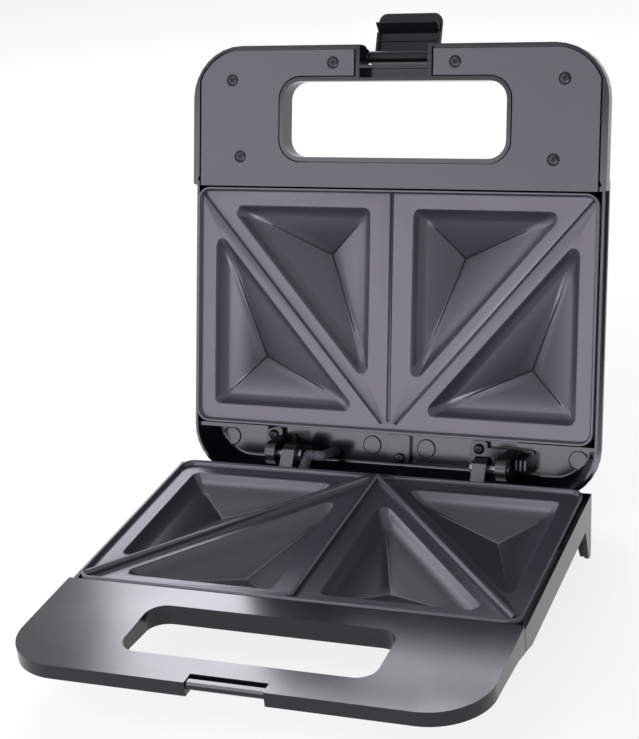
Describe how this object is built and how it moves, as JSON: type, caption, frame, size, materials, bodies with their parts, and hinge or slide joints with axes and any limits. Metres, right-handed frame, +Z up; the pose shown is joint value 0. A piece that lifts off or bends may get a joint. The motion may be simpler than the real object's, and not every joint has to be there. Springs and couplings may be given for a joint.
{
  "type": "sandwich toaster",
  "caption": "Folding sandwich toaster with a hinged lid, two non-stick plates with triangular pockets, loop handles and a snap latch.",
  "frame": {"origin": "on the table under the middle of the open toaster's bounding box", "axes": "+Z up, +X to the right across the handles, +Y from the base handle towards the hinge"},
  "size_m": [0.227, 0.319, 0.2494],
  "materials": {
    "shell_black": "smooth black moulding with a satin gloss",
    "underside_black": "matt black moulding",
    "cover_black": "satin black moulding",
    "latch_black": "black moulding",
    "hinge_black": "black moulding",
    "non_stick": "cast aluminium with a dark grey non-stick coating",
    "screw_steel": "dark zinc-plated steel",
    "pin_steel": "plain steel",
    "heater_steel": "dull steel tube",
    "shield_steel": "bare steel sheet",
    "shield_aluminium": "bare aluminium sheet",
    "inner_cream": "heat-proof cream moulding",
    "fuse_metal": "plain metal can",
    "rubber_black": "matt black rubber",
    "sleeve_grey": "woven glass-fibre sleeving",
    "lens_red": "clear red lens",
    "lens_green": "clear green lens"
  },
  "bodies": {
    "base": {"base_housing": "shell_black", "bottom_cover": "underside_black", "bottom_cover_screws": "screw_steel", "front_feet": "rubber_black", "lower_plate": "non_stick", "lower_plate_screws": "screw_steel", "lower_heating_element": "heater_steel", "lower_heat_shield": "shield_steel", "thermostat": "inner_cream", "thermal_fuse": "fuse_metal", "terminal_block": "inner_cream", "cord_inlet": "rubber_black", "hinge_post_left": "hinge_black", "hinge_post_right": "hinge_black", "hinge_pin_left": "pin_steel", "hinge_pin_right": "pin_steel", "wire_sleeve_base": "sleeve_grey"},
    "lid": {"lid_shell": "shell_black", "handle_cover": "cover_black", "handle_cover_screws": "screw_steel", "upper_plate": "non_stick", "upper_plate_screws": "screw_steel", "upper_heating_element": "heater_steel", "upper_heat_shield": "shield_aluminium", "hinge_arm_left": "hinge_black", "hinge_arm_right": "hinge_black", "hinge_arm_screws": "screw_steel", "bay_strip": "underside_black", "bay_strip_screw": "screw_steel", "wire_sleeve_lid": "sleeve_grey", "power_lens": "lens_red", "ready_lens": "lens_green", "lamp_board": "inner_cream", "latch_pin": "pin_steel"},
    "latch": {"latch": "latch_black"}
  },
  "joints": [
    {"name": "lid_hinge", "type": "hinge", "parent": "base", "child": "lid", "pos_m": [0, 0.05835, 0.034], "axis": [-1, 0, 0], "range_deg": [-108, 0]},
    {"name": "latch_hinge", "type": "hinge", "parent": "lid", "child": "latch", "pos_m": [0, 0.13622, 0.23161], "axis": [-1, 0, 0], "range_deg": [-103, 0]}
  ]
}
